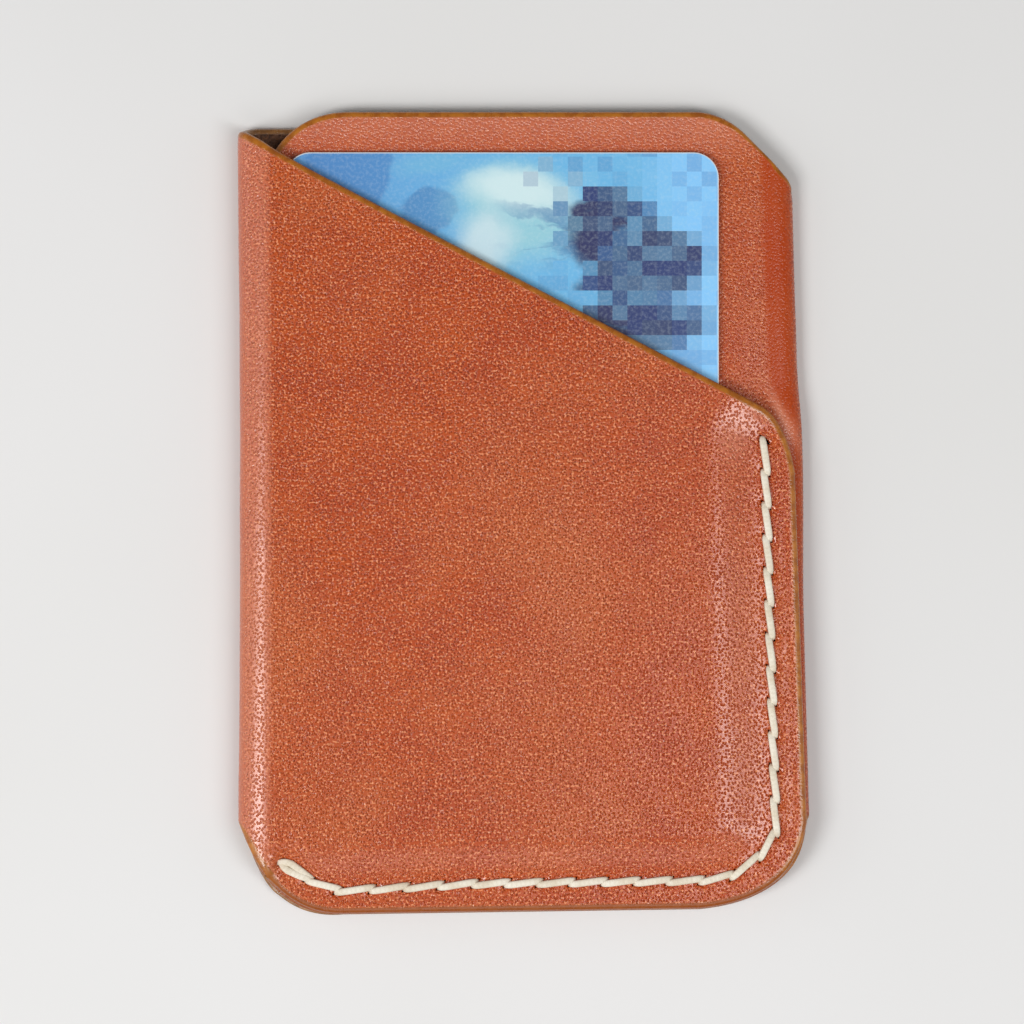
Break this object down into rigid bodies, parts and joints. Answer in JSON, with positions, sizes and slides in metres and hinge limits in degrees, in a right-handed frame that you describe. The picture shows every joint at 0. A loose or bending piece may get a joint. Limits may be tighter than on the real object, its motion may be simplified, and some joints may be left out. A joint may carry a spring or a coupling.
{
  "type": "card holder",
  "caption": "Rolled leather card holder with a diagonal front pocket, an open rear pocket, saddle-stitched edges and a card that slides out.",
  "frame": {"origin": "under the middle of the outline, on the plane the back lies on", "axes": "+X to the right of the front, +Y up the card towards the pocket mouths, +Z out of the front"},
  "size_m": [0.0714, 0.1002, 0.0057],
  "materials": {
    "leather": "orange-tan vegetable-tanned leather, pebbled grain, burnished edges",
    "thread": "cream waxed thread",
    "card": "printed laminate with a white core"
  },
  "bodies": {
    "holder": {"back_panel": "leather", "back_side_border": "leather", "back_bottom_border": "leather", "left_fold_back": "leather", "right_fold": "leather", "middle_panel": "leather", "front_panel": "leather", "front_side_border": "leather", "front_bottom_border": "leather", "left_fold_front": "leather", "sewing_thread": "thread"},
    "card": {"card": "card"}
  },
  "joints": [
    {"name": "card_slide", "type": "slide", "parent": "holder", "child": "card", "axis": [0, 1, 0], "range_m": [0, 0.092]}
  ]
}
